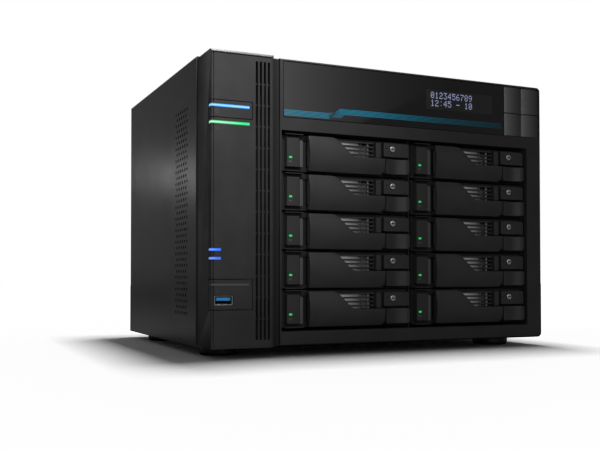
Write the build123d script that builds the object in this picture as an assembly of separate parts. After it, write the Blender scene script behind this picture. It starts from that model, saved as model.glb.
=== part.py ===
from build123d import *
import os

# Ten-bay desktop network storage enclosure, in millimetres.
# Working coordinates: x from the left side, y from the foremost face back, z up from the floor.
# Everything is shifted when saved, so that the origin is the middle of the footprint on the floor.

# ---- overall
WIDTH = 293.0
DEPTH = 230.0
HEIGHT = 216.3
FOOT_HEIGHT = 6.3
SHEET = 1.0  # steel sheet of the cover, chassis and cage
GAP = 0.4  # running gap between moving pieces and their surroundings

# ---- outer cover
COVER_FRONT = 30.5
COVER_BEND = 1.2
VENT_HOLE_R = 1.3
VENT_ROWS = 35
VENT_ROW_PITCH = 4.48
VENT_PITCH = 5.7
VENT_FIRST_Y = 52.0
VENT_FIRST_Z = 29.8

# ---- chassis
REAR_OUTER = 228.5
REAR_INNER = REAR_OUTER - 1.2
PAN_TOP = FOOT_HEIGHT + 1.2

# ---- front mouldings
MOULD_INSET = 1.1
MOULD_BOTTOM = FOOT_HEIGHT + 1.0
MOULD_TOP = HEIGHT - 1.5
MOULD_RIGHT = WIDTH - 0.1
PANEL_RIGHT = 49.0  # control panel column's right side
PANEL_ROUND = 3.1
PANEL_WALL = 3.0
BEZEL_FACE = 5.75
BEZEL_BACK = 9.5
BEZEL_LEFT = 49.3
BEZEL_ROUND = 3.3
CHANNEL_RIGHT = 55.4
CHANNEL_DEPTH = 3.0
OPENING_X = (57.5, 278.2)
OPENING_Z = (17.6, 163.0)
WINDOW_X = (58.0, 254.9)
WINDOW_Z = (172.3, 213.2)
LCD_X = (176.0, 247.5)
LCD_Z = (184.8, 207.3)
KEY_COLUMNS = ((255.9, 272.0), (273.4, 290.7))
KEY_ROWS = ((172.6, 190.8), (191.3, 212.4))
KEY_TRAVEL = 0.8

# ---- control panel features
SLOT_XS = (35.1, 38.15, 41.2, 44.3)
SLOT_WIDTH = 1.9
SLOT_Z = (12.8, 208.8)
SLOT_CELLS = 13
SLOT_RIB = 0.9
PLATE_GROOVE_X = 3.0
PANEL_BUTTON_RIGHT = 31.5
PANEL_BUTTON_WRAP = 5.1  # how far the buttons reach round the left corner
PANEL_BUTTON_TRAVEL = 0.8
POWER_Z = (167.6, 179.2)
COPY_Z = (34.4, 55.1)
USB_X = (3.8, 17.5)
USB_Z = (37.2, 44.2)

# ---- drive bays
BAY_COLUMNS = 2
BAY_ROWS = 5
TRAY_X = 59.0
TRAY_Z = 133.7  # bottom of the top row
TRAY_PITCH_X = 110.4
TRAY_PITCH_Z = 28.5
TRAY_WIDTH = 106.4
TRAY_HEIGHT = 27.6
TRAY_PLATE = (13.0, 15.0)
FASCIA_FACE = 6.9
TRAY_BACK = 166.0
DRIVE_SIZE = (101.6, 147.0, 26.1)
DRIVE_FRONT = 19.0
TRAY_TRAVEL = 175.0

# ---- tray front, from the tray's lower left corner
RIM_U = (0.5, 15.3)
RIM_W = (0.4, 26.5)
LAMP_U = (1.4, 12.2)
LAMP_W = (2.9, 24.5)
STRIP_U = (12.2, 14.6)
STRIP_W = (3.4, 22.8)
LEVER_U = (19.7, 83.5)
LEVER_W = (0.6, 26.8)
LEVER_ARM_W = 13.3
LEVER_PEAK = 4.8
LEVER_EDGE = 6.9
LEVER_BACK = 8.5
HINGE_U = 22.2
HINGE_Y = 10.2
HINGE_PIN_R = 1.0
LEVER_SWING = 60.0
GRILLE_U = (40.0, 75.5)
GRILLE_W = (13.25, 25.4)
GRILLE_BARS = 4
GRILLE_BAR = 1.15
PILLAR_U = (75.9, 80.7)
LOCK_PLATE_U = (83.0, 105.5)
LOCK_PLATE_W = (14.9, 25.6)
LOCK_UW = (91.2, 21.0)
LOCK_R = 2.25
BUTTON_U = (84.7, 105.4)
BUTTON_W = (1.6, 13.2)
BUTTON_FACE = 5.2
BUTTON_BACK = 10.0
BUTTON_TRAVEL = 2.0

# ---- drive cage and backplane
CAGE_FRONT = 12.0
CAGE_BACK = 172.5
CAGE_WALL_XS = (57.0, 166.9, 276.7)
CAGE_Z = (16.6, 163.6)
CAGE_FOOT_FRONT = 32.0
SHELF_REACH = 2.3
BACKPLANE_Y = (170.3, 171.9)

# ---- rear: fans, power supply, boards
FAN_SIZE = 120.0
FAN_DEPTH = 25.0
FAN_BORE_R = 58.0
FAN_XS = (110.6, 231.0)
FAN_Z = 122.0
FAN_HOLE_OFFSET = 52.5
FAN_BLADES = 9
PSU_X = (5.0, 45.5)
PSU_Z = (9.5, 91.0)
PSU_FRONT = 77.0
INLET_X = (13.0, 37.0)
INLET_Z = (20.0, 37.0)
BOARD_X = (7.0, 8.6)
NETWORK_ZS = (112.0, 131.0)
REAR_USB_ZS = (151.0, 170.0)
VIDEO_Z = 190.0

FOOT_R = 14.2
FOOT_XS = (21.0, 267.0)
FOOT_YS = (40.7, 187.0)


def block(x0, x1, y0, y1, z0, z1):
    centre = Pos((x0 + x1) / 2, (y0 + y1) / 2, (z0 + z1) / 2)
    return centre * Box(x1 - x0, y1 - y0, z1 - z0)


def along_y(x, z, radius, y0, y1):
    """A round bar along Y."""
    return Pos(x, (y0 + y1) / 2, z) * Rot(90, 0, 0) * Cylinder(radius, y1 - y0)


def along_z(x, y, radius, z0, z1):
    """A round bar along Z."""
    return Pos(x, y, (z0 + z1) / 2) * Cylinder(radius, z1 - z0)


def front_prism(sketch, y0, y1):
    """A sketch drawn in (x, z), extruded from y0 to y1."""
    return extrude(Plane.XZ.offset(-y1) * sketch, y1 - y0)


def side_prism(sketch, x0, x1):
    """A sketch drawn in (y, z), extruded from x0 to x1."""
    return extrude(Plane.YZ.offset(x0) * sketch, x1 - x0)


def front_rectangle(x0, x1, z0, z1, radius=0.0):
    size = (x1 - x0, z1 - z0)
    shape = RectangleRounded(*size, radius) if radius else Rectangle(*size)
    return Pos((x0 + x1) / 2, (z0 + z1) / 2) * shape


def save(name, *pieces):
    shift = Pos(-WIDTH / 2, -DEPTH / 2, 0)
    solids = [shift * solid for piece in pieces for solid in piece.solids()]
    export_step(solids[0] if len(solids) == 1 else Compound(solids), f"parts/{name}.step")


def tray_corner(index):
    """Lower left corner of a tray's front: trays 1 to 5 run down the left column, 6 to 10 the right."""
    column, row = divmod(index, BAY_ROWS)
    return TRAY_X + column * TRAY_PITCH_X, TRAY_Z - row * TRAY_PITCH_Z


# ---------------------------------------------------------------- sheet metal


def vent_centres():
    """Staggered rows of round holes: six in each even row, five in each odd row."""
    for row in range(VENT_ROWS):
        odd = row % 2
        for hole in range(6 - odd):
            y = VENT_FIRST_Y + (hole + odd / 2) * VENT_PITCH
            yield y, VENT_FIRST_Z + row * VENT_ROW_PITCH


def make_cover():
    """One folded sheet: left side, top and right side, open below, in front and behind."""
    inner = front_rectangle(SHEET, WIDTH - SHEET, -HEIGHT, HEIGHT - SHEET, COVER_BEND - SHEET)
    outer = front_rectangle(0, WIDTH, -HEIGHT, HEIGHT, COVER_BEND)
    below = front_rectangle(-1, WIDTH + 1, -HEIGHT - 1, FOOT_HEIGHT)
    cover = front_prism(outer - inner - below, COVER_FRONT, DEPTH)
    holes = Sketch() + [Pos(y, z) * Circle(VENT_HOLE_R) for y, z in vent_centres()]
    return cover - side_prism(holes, -1, WIDTH + 1)


def fan_corners(fan_x):
    for side in (-1, 1):
        for level in (-1, 1):
            yield fan_x + side * FAN_HOLE_OFFSET, FAN_Z + level * FAN_HOLE_OFFSET


def fan_guard(fan_x):
    """Pressed finger guard: rings joined by a cross."""
    rings = [Circle(radius + 1.2) - Circle(radius - 1.2) for radius in (16, 26, 36, 46)]
    arms = [Rot(0, 0, angle) * Rectangle(2 * FAN_BORE_R + 1, 3) for angle in (45, 135)]
    guard = Sketch() + [Circle(9)] + rings + arms
    return Pos(fan_x, FAN_Z) * guard


def rear_ports():
    """Each rear port's outline on the mainboard side: left, right, bottom, top."""
    left = BOARD_X[1]
    network = [(left, left + 13.4, z - 8.0, z + 8.0) for z in NETWORK_ZS]
    usb = [(left, left + 16.0, z - 6.7, z + 6.7) for z in REAR_USB_ZS]
    video = [(left, left + 12.5, VIDEO_Z - 8.0, VIDEO_Z + 8.0)]
    return network, usb, video


def psu_screws():
    for x in (PSU_X[0] + 5, PSU_X[1] - 5):
        for z in (PSU_Z[0] + 5, PSU_Z[1] - 5):
            yield x, z


def make_chassis():
    """Bottom pan, its two side flanges, and the rear panel standing on the pan."""
    left = SHEET + 0.2
    right = WIDTH - SHEET - 0.2
    pan = block(left, right, COVER_FRONT + 1, REAR_INNER, FOOT_HEIGHT, PAN_TOP)
    flanges = [
        block(x, x + 1.2, COVER_FRONT + 1, REAR_INNER, PAN_TOP, FOOT_HEIGHT + 14)
        for x in (left, right - 1.2)
    ]
    panel = front_rectangle(left, right, FOOT_HEIGHT, HEIGHT - SHEET - 0.3, COVER_BEND)
    for fan_x in FAN_XS:
        panel -= Pos(fan_x, FAN_Z) * Circle(FAN_BORE_R - 1)
        panel += fan_guard(fan_x)
        panel -= Sketch() + [Pos(x, z) * Circle(1.8) for x, z in fan_corners(fan_x)]
    panel -= front_rectangle(PSU_X[0] + 9, PSU_X[1] - 5, PSU_Z[0] + 9, PSU_Z[1] - 9, 1)
    panel -= Sketch() + [Pos(x, z) * Circle(1.8) for x, z in psu_screws()]
    for group in rear_ports():
        for x0, x1, z0, z1 in group:
            panel -= front_rectangle(x0 - GAP, x1 + GAP, z0 - GAP, z1 + GAP)
    return [pan, *flanges, front_prism(panel, REAR_INNER, REAR_OUTER)]


def make_cage():
    """Three pierced walls, floor and roof plates, and a shelf rail under each side of each tray."""
    floor, roof = CAGE_Z[0], CAGE_Z[1] - SHEET
    pieces = [
        block(CAGE_WALL_XS[0], CAGE_WALL_XS[2] + SHEET, CAGE_FRONT, CAGE_BACK, roof, CAGE_Z[1])
    ]
    for x in CAGE_WALL_XS:
        wall = block(x, x + SHEET, CAGE_FRONT, CAGE_BACK, floor, roof)
        wall += block(x, x + SHEET, CAGE_FOOT_FRONT, CAGE_BACK, PAN_TOP, floor)
        for row in range(BAY_ROWS):
            z = TRAY_Z - row * TRAY_PITCH_Z
            for y in (30, 78, 126):
                wall -= block(x - 1, x + SHEET + 1, y, y + 34, z + 6, z + 22)
        pieces.append(wall)
    for left_wall, right_wall in zip(CAGE_WALL_XS, CAGE_WALL_XS[1:]):
        left, right = left_wall + SHEET, right_wall
        pieces.append(block(left, right, CAGE_FRONT, CAGE_BACK, floor, floor + SHEET))
        for row in range(BAY_ROWS):
            z = TRAY_Z - row * TRAY_PITCH_Z
            for x in (left, right - SHELF_REACH):
                pieces.append(block(x, x + SHELF_REACH, 17, 168, z + 0.3, z + 1.6))
    return pieces


def make_feet():
    """Round rubber feet with a shallow dished underside."""
    feet = []
    for x in FOOT_XS:
        for y in FOOT_YS:
            foot = Pos(x, y, FOOT_HEIGHT / 2) * Cylinder(FOOT_R, FOOT_HEIGHT)
            foot = chamfer(foot.edges().group_by(Axis.Z)[0], 1.2)
            feet.append(foot - along_z(x, y, FOOT_R - 4.5, -1, 1.2))
    return feet


def make_fasteners():
    """Pan-head screws that hold the fans and the power supply, seen on the rear panel."""
    places = [place for fan_x in FAN_XS for place in fan_corners(fan_x)] + list(psu_screws())
    screws = []
    for x, z in places:
        head = along_y(x, z, 3.0, REAR_OUTER, REAR_OUTER + 1.4)
        recess = [
            block(x - 1.8, x + 1.8, REAR_OUTER + 0.6, DEPTH, z - 0.35, z + 0.35),
            block(x - 0.35, x + 0.35, REAR_OUTER + 0.6, DEPTH, z - 1.8, z + 1.8),
        ]
        screws.append(head - recess + along_y(x, z, 1.5, REAR_OUTER - 6, REAR_OUTER))
    return screws


# ---------------------------------------------------------------- front mouldings


def panel_button(z0, z1, gap=0.0):
    """A button that covers the front of the column and wraps round its left corner."""
    x0 = MOULD_INSET - 1 if gap else MOULD_INSET
    y0 = -1 if gap else 0
    front = block(x0, PANEL_BUTTON_RIGHT + gap, y0, PANEL_WALL + 0.2, z0 - gap, z1 + gap)
    wrap = block(x0, MOULD_INSET + 2.0 + gap, y0, PANEL_BUTTON_WRAP, z0 - gap, z1 + gap)
    return front + wrap


def make_control_panel():
    """Hollow column with a rounded right edge, a chamfered left edge and four vent slots."""
    left = MOULD_INSET
    column = block(left, PANEL_RIGHT, 0, COVER_FRONT, MOULD_BOTTOM, MOULD_TOP)
    upright = column.edges().filter_by(Axis.Z).group_by(Axis.Y)[0].sort_by(Axis.X)
    column = fillet(upright[-1], PANEL_ROUND)
    upright = column.edges().filter_by(Axis.Z).group_by(Axis.Y)[0].sort_by(Axis.X)
    column = chamfer(upright[0], 1.0)
    cuts = [
        block(left + 2.4, PANEL_RIGHT - 2.6, PANEL_WALL, COVER_FRONT + 1, 9.8, MOULD_TOP - 2.5),
        block(PLATE_GROOVE_X, PLATE_GROOVE_X + 0.7, -1, 1.0, MOULD_BOTTOM + 3, MOULD_TOP - 3),
        block(USB_X[0], USB_X[1], -1, PANEL_WALL + 1, USB_Z[0], USB_Z[1]),
    ]
    cell = (SLOT_Z[1] - SLOT_Z[0]) / SLOT_CELLS
    for x in SLOT_XS:
        x0, x1 = x - SLOT_WIDTH / 2, x + SLOT_WIDTH / 2
        cuts.append(block(x0, x1, -1, 1.6, *SLOT_Z))
        for step in range(SLOT_CELLS):
            z = SLOT_Z[0] + step * cell
            cuts.append(block(x0, x1, 1, PANEL_WALL + 1, z, z + cell - SLOT_RIB))
    for z0, z1 in (POWER_Z, COPY_Z):
        opening = panel_button(z0, z1, GAP)
        cuts.append(opening)
        cuts.append(Pos(0, PANEL_BUTTON_TRAVEL + GAP, 0) * opening)
    return column - cuts


def make_panel_button(z_range, hole=None):
    """Front cap with its wrapped corner and a stem that meets the front board's switch."""
    z0, z1 = z_range
    upright = (z0 + z1) / 2
    button = panel_button(z0, z1)
    button += block(22, 26, PANEL_WALL, 12.0, upright - 2, upright + 2)
    corner = button.edges().filter_by(Axis.Z).group_by(Axis.Y)[0].sort_by(Axis.X)
    button = chamfer(corner[0], 1.0)
    if hole:
        button -= hole
    return button


def make_bezel():
    """Front moulding: a wall with the bay, window and key openings, and a rim back to the cover."""
    right = MOULD_RIGHT
    outline = front_rectangle(BEZEL_LEFT, right, MOULD_BOTTOM, MOULD_TOP)
    bezel = front_prism(outline, BEZEL_FACE, COVER_FRONT)
    long_edges = bezel.edges().filter_by(Axis.Y).group_by(Axis.X)[-1]
    bezel = fillet(long_edges, BEZEL_ROUND)
    rim_edges = bezel.edges().group_by(Axis.Y)[0].sort_by(Axis.X)[1:]
    bezel = chamfer(rim_edges, 1.0)
    inside = block(
        BEZEL_LEFT + 2, right - 2, BEZEL_BACK, COVER_FRONT + 1, MOULD_BOTTOM + 2.5, MOULD_TOP - 1.2
    )
    channel = block(
        BEZEL_LEFT - 1, CHANNEL_RIGHT, 0, BEZEL_FACE + CHANNEL_DEPTH, 0, HEIGHT
    )
    bays = block(*OPENING_X, 0, BEZEL_BACK + 1, *OPENING_Z)
    seat = block(*WINDOW_X, 0, BEZEL_FACE + 2.3, *WINDOW_Z)
    lcd = block(LCD_X[0] - 1, LCD_X[1] + 1, 0, BEZEL_BACK + 1, LCD_Z[0] - 1, LCD_Z[1] + 1)
    keys = block(
        KEY_COLUMNS[0][0] - GAP, KEY_COLUMNS[1][1] + GAP, 0, BEZEL_BACK + 1,
        KEY_ROWS[0][0] - GAP, KEY_ROWS[1][1] + GAP,
    )
    return bezel - [inside, channel, bays, seat, lcd, keys]


def make_window():
    """Glossy window plate, the character display behind it, and the key switch board."""
    plate = block(
        WINDOW_X[0] + 0.2, WINDOW_X[1] - 0.2, BEZEL_FACE + 0.1, BEZEL_FACE + 2.2,
        WINDOW_Z[0] + 0.2, WINDOW_Z[1] - 0.2,
    )
    module = block(*LCD_X, BEZEL_FACE + 2.2, 15.0, *LCD_Z)
    board = block(150, 288, 17.0, 18.6, 173, 211)
    standoffs = [block(x, x + 5, 15.0, 17.0, 186, 204) for x in (178, 240)]
    switches = [
        block(x - 3, x + 3, 14.6, 17.0, z - 3, z + 3) for x, z in key_centres()
    ]
    return [plate, module + standoffs, board, *switches]


def key_centres():
    """Centres of the four menu keys: up, down, back, enter."""
    rows = [sum(row) / 2 for row in KEY_ROWS]
    columns = [sum(column) / 2 for column in KEY_COLUMNS]
    return [
        (columns[0], rows[1]), (columns[0], rows[0]), (columns[1], rows[1]), (columns[1], rows[0])
    ]


def make_key(column, row):
    """A flat cap with a retaining flange behind and a stem for its switch."""
    x0, x1 = KEY_COLUMNS[column]
    z0, z1 = KEY_ROWS[row]
    x, z = (x0 + x1) / 2, (z0 + z1) / 2
    cap = block(x0, x1, BEZEL_FACE - 0.2, 8.6, z0, z1)
    cap = chamfer(cap.edges().group_by(Axis.Y)[0], 0.4)
    return cap + block(x - 2, x + 2, 8.6, 13.6, z - 2, z + 2)


# ---------------------------------------------------------------- drive trays


def make_carrier():
    """Front plate, two side rails and two cross straps that hold a hard drive."""
    y0, y1 = TRAY_PLATE
    plate = block(0, TRAY_WIDTH, y0, y1, 0, TRAY_HEIGHT)
    plate -= block(GRILLE_U[0] + 2, PILLAR_U[0], y0 - 1, y1 + 1, GRILLE_W[0], GRILLE_W[1])
    plate -= along_y(*LOCK_UW, LOCK_R + 0.1, y0 - 1, y1 + 1)
    u, w = button_centre()
    plate -= block(u - 2.5, u + 2.5, y0 - 1, y1 + 1, w - 2.5, w + 2.5)
    for inner, outer in ((2.2, 0.4), (TRAY_WIDTH - 2.2, TRAY_WIDTH - 0.4)):
        lip = inner + 0.5 * (1 if outer > inner else -1)
        plate += block(min(inner, outer), max(inner, outer), y1, TRAY_BACK, 2, 15)
        plate += block(min(inner, lip), max(inner, lip), y1, TRAY_BACK, 0, 2)
    for y in (30, 140):
        plate += block(2.2, TRAY_WIDTH - 2.2, y, y + 12, 0, 0.6)
    return plate


def make_drive():
    """Hard drive with a notch at the back for the backplane's connector."""
    width, length, height = DRIVE_SIZE
    u0 = (TRAY_WIDTH - width) / 2
    drive = block(u0, u0 + width, DRIVE_FRONT, DRIVE_FRONT + length, 0.8, 0.8 + height)
    drive = fillet(drive.edges().filter_by(Axis.Z), 3)
    return drive - connector_space(0.6)


def connector_space(gap=0.0):
    """Space of one backplane connector, from the tray's corner, with some gap round it."""
    return block(14 - gap, 50 + gap, DRIVE_FRONT + DRIVE_SIZE[1] - 4 - gap, 171, 2 - gap, 8 + gap)


def button_centre():
    return sum(BUTTON_U) / 2, sum(BUTTON_W) / 2


def make_fascia():
    """Tray front: lamp module in its rim, hinge ears, grille, pillar and lock plate on one skin."""
    back = TRAY_PLATE[0]
    skin = back - 1
    fascia = block(0.4, TRAY_WIDTH - 0.4, skin, back, 0.4, TRAY_HEIGHT - 0.4)
    fascia -= block(17, 27, skin - 1, back + 1, 3.8, 23.4)
    fascia -= block(BUTTON_U[0] - 1, TRAY_WIDTH, skin - 1, back + 1, 0, BUTTON_W[1] + 0.8)
    fascia -= block(GRILLE_U[0] + 2, PILLAR_U[0], skin - 1, back + 1, GRILLE_W[0], GRILLE_W[1])
    rim = block(*RIM_U, 8.0, skin, *RIM_W)
    rim -= block(RIM_U[0] + 0.7, RIM_U[1] - 0.7, 7, skin, RIM_W[0] + 0.7, RIM_W[1] - 0.7)
    fascia += rim
    fascia += block(*LAMP_U, FASCIA_FACE, skin, *LAMP_W)
    fascia += block(*STRIP_U, FASCIA_FACE + 0.5, skin, *STRIP_W)
    for w0, w1 in ((1.0, 3.6), (23.6, 26.4)):
        ear = along_z(HINGE_U, HINGE_Y, 1.9, w0, w1)
        ear += block(HINGE_U - 1.9, HINGE_U + 1.9, HINGE_Y, skin, w0, w1)
        fascia += ear
    pitch = (GRILLE_W[1] - GRILLE_W[0]) / GRILLE_BARS
    for bar in range(GRILLE_BARS):
        w = GRILLE_W[0] + (bar + 1) * pitch - GRILLE_BAR
        fascia += block(GRILLE_U[0], PILLAR_U[0], 9.2, 10.6, w, w + GRILLE_BAR)
    fascia += block(GRILLE_U[0], GRILLE_U[0] + 2, 9.2, skin, GRILLE_W[0], GRILLE_W[1])
    fascia += block(*PILLAR_U, FASCIA_FACE + 0.7, skin, LEVER_ARM_W + 0.4, GRILLE_W[1])
    fascia += block(*LOCK_PLATE_U, FASCIA_FACE + 0.1, skin, *LOCK_PLATE_W)
    fascia -= along_y(*LOCK_UW, LOCK_R + 0.1, 0, back + 1)
    return fascia - along_z(HINGE_U, HINGE_Y, HINGE_PIN_R + 0.06, -1, TRAY_HEIGHT + 1)


def make_lever():
    """Latch lever: crowned front, arm along the bottom, knuckle and pin at its left end."""
    u0, u1 = LEVER_U
    w0, w1 = LEVER_W
    outline = Polyline((u1, LEVER_ARM_W), (u1, w0), (u0, w0), (u0, w1), (39.9, w1))
    sweep = Spline((39.9, w1), (46.1, 23.3), (52.3, 16.8), (60.6, LEVER_ARM_W),
                   tangents=((1, 0), (1, 0)))
    arm_top = Line((60.6, LEVER_ARM_W), (u1, LEVER_ARM_W))
    face = make_face(outline + sweep + arm_top)
    lever = front_prism(face, LEVER_PEAK - 1, LEVER_BACK)
    middle = (w0 + w1) / 2
    crown = ThreePointArc((LEVER_EDGE, w0 - 0.1), (LEVER_PEAK, middle), (LEVER_EDGE, w1 + 0.1))
    back = Polyline(
        (LEVER_EDGE, w1 + 0.1), (LEVER_BACK, w1 + 0.1), (LEVER_BACK, w0 - 0.1),
        (LEVER_EDGE, w0 - 0.1),
    )
    lever = lever & side_prism(make_face(crown + back), u0 - 1, u1 + 1)
    for low, high in ((0, 4.0), (23.2, TRAY_HEIGHT)):
        lever -= block(u0 - 1, 26, 7.9, LEVER_BACK + 1, low, high)
    lever += along_z(HINGE_U, HINGE_Y, 2.1, 4.4, 22.8)
    lever += block(HINGE_U - 2.1, HINGE_U + 2.1, 7.6, HINGE_Y, 4.4, 22.8)
    return lever + along_z(HINGE_U, HINGE_Y, HINGE_PIN_R, 1.0, 26.4)


def make_release():
    """Release button with a scooped face and a stem through the tray's front plate."""
    u0, u1 = BUTTON_U
    u, w = button_centre()
    button = block(u0, u1, BUTTON_FACE, BUTTON_BACK, *BUTTON_W)
    button -= along_z(u - 1, BUTTON_FACE - 22.2, 24.0, 0, TRAY_HEIGHT)
    return button + block(u - 2, u + 2, BUTTON_BACK, 15.6, w - 2, w + 2)


def make_lock():
    """Lock cylinder with a key slot in front and a cam behind the front plate."""
    u, w = LOCK_UW
    lock = along_y(u, w, LOCK_R, FASCIA_FACE - 0.2, TRAY_PLATE[1] + 0.4)
    lock -= block(u - 1.7, u + 1.7, 6, FASCIA_FACE + 1.4, w - 0.35, w + 0.35)
    cam = block(u - 2, u + 4.5, TRAY_PLATE[1] + 0.4, TRAY_PLATE[1] + 1.9, w - 1.5, w + 1.5)
    return lock + cam


# ---------------------------------------------------------------- inside


def make_backplane():
    """Board across both bay columns with air slots and a connector for each drive."""
    y0, y1 = BACKPLANE_Y
    x0, x1 = CAGE_WALL_XS[0] + SHEET, CAGE_WALL_XS[2]
    middle = CAGE_WALL_XS[1]
    boards = []
    for left, right in ((x0 + 0.2, middle - 0.2), (middle + SHEET + 0.2, x1 - 0.2)):
        board = block(left, right, y0, y1, CAGE_Z[0] + SHEET + 0.2, CAGE_Z[1] - SHEET - 0.2)
        for row in range(BAY_ROWS):
            z = TRAY_Z - row * TRAY_PITCH_Z
            board -= block(left + 12, right - 12, y0 - 1, y1 + 1, z + 12, z + 22)
        boards.append(board)
    connectors = []
    for index in range(BAY_COLUMNS * BAY_ROWS):
        x, z = tray_corner(index)
        connector = Pos(x, 0, z) * connector_space()
        slot = block(x + 18, x + 46, DRIVE_FRONT, BACKPLANE_Y[0] - 3, z + 4, z + 6)
        connectors.append(connector - slot - block(x, x + 60, y0, y1 + 1, z, z + 12))
    return boards + connectors


def make_power_supply():
    """Slim power supply with its mains inlet socket facing the rear."""
    case = block(*PSU_X, PSU_FRONT, REAR_INNER, *PSU_Z)
    cavity = block(*INLET_X, REAR_INNER - 17, REAR_INNER + 1, *INLET_Z)
    vent = [
        block(PSU_X[0] + 12, PSU_X[1] - 8, REAR_INNER - 3, REAR_INNER + 1, z, z + 2.5)
        for z in range(46, 78, 5)
    ]
    case = case - cavity - vent
    for x, z in psu_screws():
        case -= along_y(x, z, 1.6, REAR_OUTER - 7, REAR_INNER + 1)
    x, z = sum(INLET_X) / 2, sum(INLET_Z) / 2
    for dx, dz in ((-7, -2), (0, 2), (7, -2)):
        case += block(x + dx - 1, x + dx + 1, REAR_INNER - 17, REAR_INNER - 6, z + dz - 2, z + dz + 2)
    return case


def make_fan_frame(fan_x):
    """Square fan housing with a round bore, a hub plate and four struts at the rear."""
    half = FAN_SIZE / 2
    y0, y1 = REAR_INNER - FAN_DEPTH, REAR_INNER
    outline = Pos(fan_x, FAN_Z) * RectangleRounded(FAN_SIZE, FAN_SIZE, 5)
    frame = front_prism(outline, y0, y1) - along_y(fan_x, FAN_Z, FAN_BORE_R, y0 - 1, y1 + 1)
    for x, z in fan_corners(fan_x):
        frame -= along_y(x, z, 2.15, y0 - 1, y1 + 1)
    hub = along_y(fan_x, FAN_Z, 20.0, y1 - 4, y1 - 0.5)
    strut = block(fan_x - half + 1.5, fan_x + half - 1.5, y1 - 4, y1 - 1, FAN_Z - 2.5, FAN_Z + 2.5)
    turn = Pos(fan_x, 0, FAN_Z) * Rot(0, 90, 0) * Pos(-fan_x, 0, -FAN_Z)
    frame = frame + hub + strut + turn * strut
    return frame - along_y(fan_x, FAN_Z, 2.06, y1 - 6, y1 + 1)


def make_fan_rotor(fan_x):
    """Hub cup, pitched blades and the spindle that turns in the housing's hub plate."""
    front = REAR_INNER - FAN_DEPTH + 1.5
    hub_back = REAR_INNER - 4.8
    rotor = along_y(fan_x, FAN_Z, 19.5, front, hub_back)
    ring = along_y(fan_x, FAN_Z, FAN_BORE_R - 1.4, front, hub_back)
    for number in range(FAN_BLADES):
        blade = Pos(38.5, 0, 0) * Rot(38, 0, 0) * Box(41, 2.0, 23)
        angle = 360 / FAN_BLADES * number
        rotor += ring & (Pos(fan_x, (front + hub_back) / 2, FAN_Z) * Rot(0, angle, 0) * blade)
    return rotor + along_y(fan_x, FAN_Z, 2.0, hub_back, REAR_INNER - 1.0)


def port_shell(x0, x1, z0, z1, length, wall):
    """A rear socket: a shell open at the back, with one wall thickness all round."""
    shell = block(x0, x1, REAR_OUTER - length, REAR_OUTER, z0, z1)
    return shell - block(
        x0 + wall, x1 - wall, REAR_OUTER - length + 2, REAR_OUTER + 1, z0 + wall, z1 - wall
    )


def make_boards():
    """Mainboard with cooler, memory and rear sockets, and the front board with its USB socket."""
    x0, x1 = BOARD_X
    pieces = [block(x0, x1, 60, REAR_INNER - 1, 96, 208)]
    cooler = block(x1 + 1.5, x1 + 5, 110, 160, 125, 175)
    for fin in range(11):
        z = 125.4 + fin * 4.8
        cooler += block(x1 + 5, x1 + 27, 110, 160, z, z + 1.2)
    pieces += [cooler, block(x1, x1 + 1.5, 120, 150, 135, 165)]
    pieces += [block(x1, x1 + 30, 78, 79.4, 110, 178), block(x1, x1 + 6, 76, 81.4, 108, 109.6)]
    network, usb, video = rear_ports()
    pieces += [port_shell(*place, 20, 1.0) for place in network]
    for u0, u1, z0, z1 in usb:
        shell = port_shell(u0, u1, z0, z1, 17, 0.6)
        for u in (u0 + 4.2, u0 + 11.8):
            shell += block(u - 1, u + 1, REAR_OUTER - 16, REAR_OUTER - 2, z0 + 1.6, z1 - 1.6)
        pieces.append(shell + block(u0 + 7.4, u0 + 8.6, REAR_OUTER - 16, REAR_OUTER, z0, z1))
    pieces += [port_shell(*place, 15, 1.0) for place in video]
    pieces.append(block(4.5, 40, 16.0, 17.6, 28, 190))
    for z0, z1 in (POWER_Z, COPY_Z):
        upright = (z0 + z1) / 2
        pieces.append(block(21, 27, 13.0, 16.0, upright - 3, upright + 3))
    socket = block(USB_X[0] + 0.2, USB_X[1] - 0.2, 1.2, 16.0, USB_Z[0] + 0.2, USB_Z[1] - 0.2)
    socket -= block(USB_X[0] + 0.7, USB_X[1] - 0.7, 0, 14, USB_Z[0] + 0.7, USB_Z[1] - 0.7)
    tongue = block(USB_X[0] + 1.6, USB_X[1] - 1.6, 2.4, 15, USB_Z[1] - 3.2, USB_Z[1] - 1.4)
    return [*pieces, socket + tongue]


os.makedirs("parts", exist_ok=True)

save("outer_cover", make_cover())
save("chassis", *make_chassis())
save("drive_cage", *make_cage())
save("front_bezel", make_bezel())
save("control_panel", make_control_panel())
save("display_window", *make_window())
save("drive_backplane", *make_backplane())
save("system_boards", *make_boards())
save("power_supply", make_power_supply())
save("fan_frames", *[make_fan_frame(x) for x in FAN_XS])
save("feet", *make_feet())
save("fasteners", *make_fasteners())

usb_clearance = block(
    USB_X[0] - 0.5, USB_X[1] + 0.5, -1, PANEL_BUTTON_WRAP + 1, USB_Z[0] - 0.5, USB_Z[1] + 0.5
)
save("power_button", make_panel_button(POWER_Z))
save("copy_button", make_panel_button(COPY_Z, usb_clearance))
for name, column, row in (("up", 0, 1), ("down", 0, 0), ("back", 1, 1), ("enter", 1, 0)):
    save(f"key_{name}", make_key(column, row))
for number, x in enumerate(FAN_XS, 1):
    save(f"fan_rotor_{number}", make_fan_rotor(x))

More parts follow.
